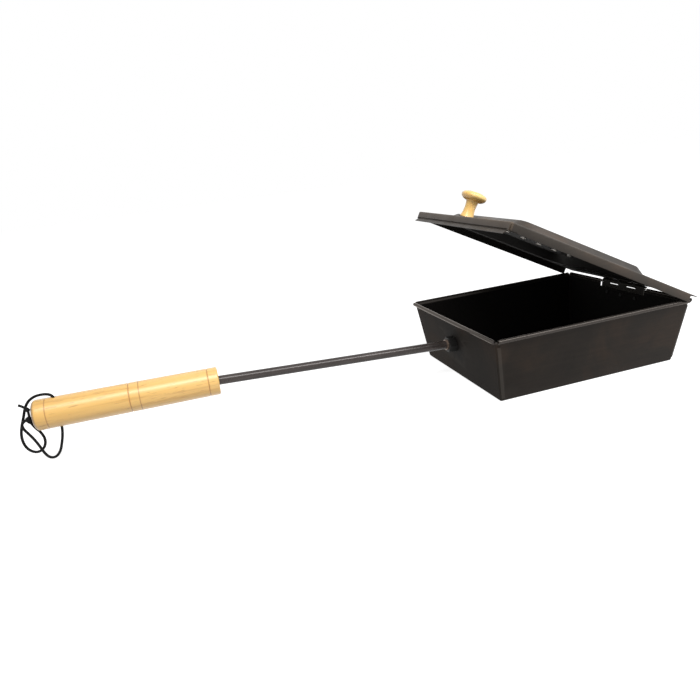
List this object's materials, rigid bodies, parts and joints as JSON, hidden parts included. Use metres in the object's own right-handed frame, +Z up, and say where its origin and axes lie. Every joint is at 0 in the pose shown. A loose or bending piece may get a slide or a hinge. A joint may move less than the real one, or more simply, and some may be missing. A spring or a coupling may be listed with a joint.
{
  "type": "open-fire popcorn popper",
  "caption": "Open-fire popcorn popper: folded dark steel pan, hinged vented lid standing open with a wooden knob, long steel rod with a turned wooden grip and a hanging black lace.",
  "frame": {"origin": "centre of the pan's flat base, on the surface that it stands on", "axes": "+Z up, +X from the handle toward the lid's hinge, +Y to the left seen from the handle"},
  "size_m": [0.6895, 0.2146, 0.2069],
  "materials": {
    "dark_sheet": "dark, low-sheen rolled steel",
    "rod_steel": "grey drawn steel",
    "black_nut": "black oxide",
    "pale_wood": "smooth turned hardwood, thin clear coat",
    "black_lace": "soft round lace"
  },
  "bodies": {
    "pan": {"pan_body": "dark_sheet", "rim_wire_front": "rod_steel", "rim_wire_near": "rod_steel", "rim_wire_far": "rod_steel", "rim_wire_rear_left": "rod_steel", "rim_wire_rear_right": "rod_steel", "handle_rod": "rod_steel", "rod_collar": "rod_steel", "socket_nut": "black_nut", "inner_washer": "black_nut", "inner_nut": "black_nut", "grip": "pale_wood", "grip_washer": "rod_steel", "grip_nut": "rod_steel", "lace_upper": "black_lace", "lace_lower": "black_lace", "lace_tail": "black_lace", "lace_knot": "black_lace", "lace_end_knot": "black_lace", "hinge_leaf_pan": "dark_sheet", "hinge_pin": "rod_steel", "hinge_rivets_pan": "rod_steel"},
    "lid": {"lid_shell": "dark_sheet", "hinge_leaf_lid": "dark_sheet", "hinge_rivets_lid": "rod_steel", "knob": "pale_wood", "knob_screw": "rod_steel", "knob_washer": "black_nut"}
  },
  "joints": [
    {"name": "lid_hinge", "type": "hinge", "parent": "pan", "child": "lid", "pos_m": [0.11721, 0, 0.0699], "axis": [0, 1, 0], "range_deg": [-27.1, 78]}
  ]
}
